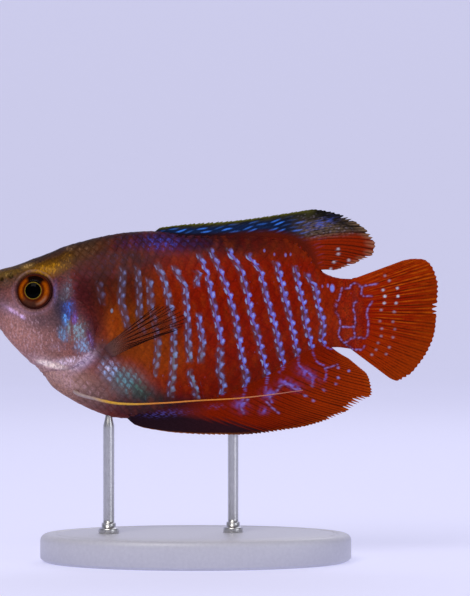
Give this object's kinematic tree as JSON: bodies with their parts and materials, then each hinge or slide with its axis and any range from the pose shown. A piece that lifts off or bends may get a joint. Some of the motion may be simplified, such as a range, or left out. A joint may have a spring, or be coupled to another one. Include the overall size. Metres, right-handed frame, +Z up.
{
  "type": "dwarf gourami",
  "caption": "Still life-size male dwarf gourami, deep flat body, long dorsal and anal fins, fan tail and thread pelvic fins, held by rods on an oval display stand.",
  "frame": {"origin": "on the surface that the stand rests on, at the middle of the bounding box's bottom face: below the middle of the fish's length and in its middle plane", "axes": "+X from the snout towards the tail, +Y to the fish's right side, +Z up"},
  "size_m": [0.075, 0.03, 0.0566],
  "materials": {
    "scaled_skin": "satin red-brown painted scales with blue-violet bars",
    "head_skin": "satin olive-brown above, mauve-pink below",
    "gill_cover": "satin mauve with a pearly blue patch",
    "eye": "clear gloss over an amber iris and a black pupil",
    "dorsal_fin": "satin blue-black membrane with pale blue streaks",
    "fin": "satin orange-red membrane with darker rays",
    "clear_fin": "thin clear membrane with brown rays",
    "filament": "satin, white at the root, then gold and orange",
    "stand_paint": "satin pale grey paint",
    "rod_steel": "drawn and lightly brushed"
  },
  "bodies": {
    "root": {"head": "head_skin", "lower_jaw": "head_skin", "gill_cover_left": "gill_cover", "gill_cover_right": "gill_cover", "eye_left": "eye", "eye_right": "eye", "trunk": "scaled_skin", "tail_root": "scaled_skin", "dorsal_fin": "dorsal_fin", "anal_fin": "fin", "tail_fin": "fin", "pectoral_fin_left": "clear_fin", "pectoral_fin_right": "clear_fin", "pelvic_fin_left_root": "filament", "pelvic_fin_left_tip": "filament", "pelvic_fin_right_root": "filament", "pelvic_fin_right_tip": "filament", "stand_base": "stand_paint", "stand_rod_front": "rod_steel", "stand_rod_rear": "rod_steel"}
  },
  "joints": []
}
